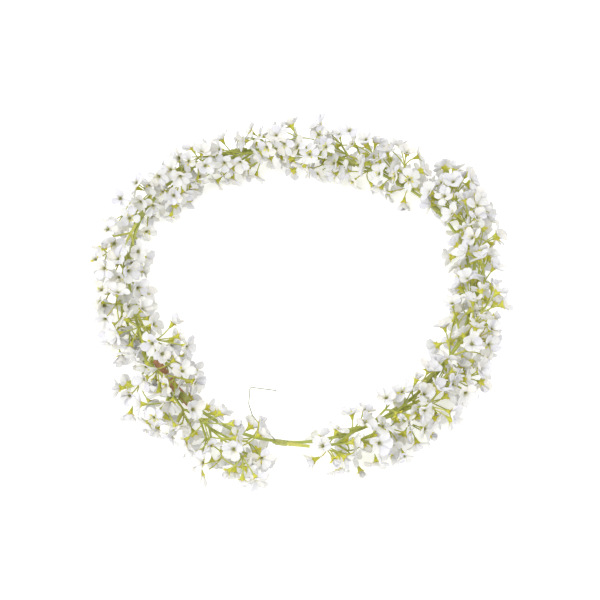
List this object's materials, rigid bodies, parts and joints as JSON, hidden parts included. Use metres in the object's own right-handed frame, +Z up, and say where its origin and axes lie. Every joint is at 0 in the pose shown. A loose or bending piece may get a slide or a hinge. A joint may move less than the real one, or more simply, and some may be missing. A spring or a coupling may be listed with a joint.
{
  "type": "flower crown",
  "caption": "Artificial baby's-breath flower crown: branching moulded sprigs with small white fabric flowers, taped one behind the other round a closed ring of coated wire.",
  "frame": {"origin": "the middle of the wire ring, on the surface that the crown rests on", "axes": "+Z up out of the ring, which lies flat; +X and +Y across the ring, with the taped join of the wire in the -X -Y quarter"},
  "size_m": [0.2329, 0.2326, 0.0359],
  "materials": {
    "petal_white": "thin stiffened white fabric, matt, slightly translucent",
    "calyx_green": "moulded plastic, yellow green, satin",
    "stem_green": "moulded plastic, olive to yellow green, satin",
    "floral_tape": "waxed crepe paper tape, olive green",
    "join_tape": "waxed crepe paper tape, pinkish brown",
    "wire_coating": "drawn green plastic coat on wire",
    "wire_steel": "annealed steel wire",
    "tie_wire": "thin lacquered binding wire, grey green"
  },
  "bodies": {
    "root": {"wire_core": "wire_steel", "wire_coating": "wire_coating", "join_wrap": "join_tape", "sprig_bindings": "floral_tape", "tie_wire_tail": "tie_wire", "sprig_01_stem": "stem_green", "sprig_01_calyxes": "calyx_green", "sprig_01_petals": "petal_white", "sprig_02_stem": "stem_green", "sprig_02_calyxes": "calyx_green", "sprig_02_petals": "petal_white", "sprig_03_stem": "stem_green", "sprig_03_calyxes": "calyx_green", "sprig_03_petals": "petal_white", "sprig_04_stem": "stem_green", "sprig_04_calyxes": "calyx_green", "sprig_04_petals": "petal_white", "sprig_05_stem": "stem_green", "sprig_05_calyxes": "calyx_green", "sprig_05_petals": "petal_white", "sprig_06_stem": "stem_green", "sprig_06_calyxes": "calyx_green", "sprig_06_petals": "petal_white", "sprig_07_stem": "stem_green", "sprig_07_calyxes": "calyx_green", "sprig_07_petals": "petal_white", "sprig_08_stem": "stem_green", "sprig_08_calyxes": "calyx_green", "sprig_08_petals": "petal_white", "sprig_09_stem": "stem_green", "sprig_09_calyxes": "calyx_green", "sprig_09_petals": "petal_white", "sprig_10_stem": "stem_green", "sprig_10_calyxes": "calyx_green", "sprig_10_petals": "petal_white", "sprig_11_stem": "stem_green", "sprig_11_calyxes": "calyx_green", "sprig_11_petals": "petal_white", "sprig_12_stem": "stem_green", "sprig_12_calyxes": "calyx_green", "sprig_12_petals": "petal_white", "sprig_13_stem": "stem_green", "sprig_13_calyxes": "calyx_green", "sprig_13_petals": "petal_white", "sprig_14_stem": "stem_green", "sprig_14_calyxes": "calyx_green", "sprig_14_petals": "petal_white", "sprig_15_stem": "stem_green", "sprig_15_calyxes": "calyx_green", "sprig_15_petals": "petal_white", "sprig_16_stem": "stem_green", "sprig_16_calyxes": "calyx_green", "sprig_16_petals": "petal_white", "sprig_17_stem": "stem_green", "sprig_17_calyxes": "calyx_green", "sprig_17_petals": "petal_white", "sprig_18_stem": "stem_green", "sprig_18_calyxes": "calyx_green", "sprig_18_petals": "petal_white"}
  },
  "joints": []
}
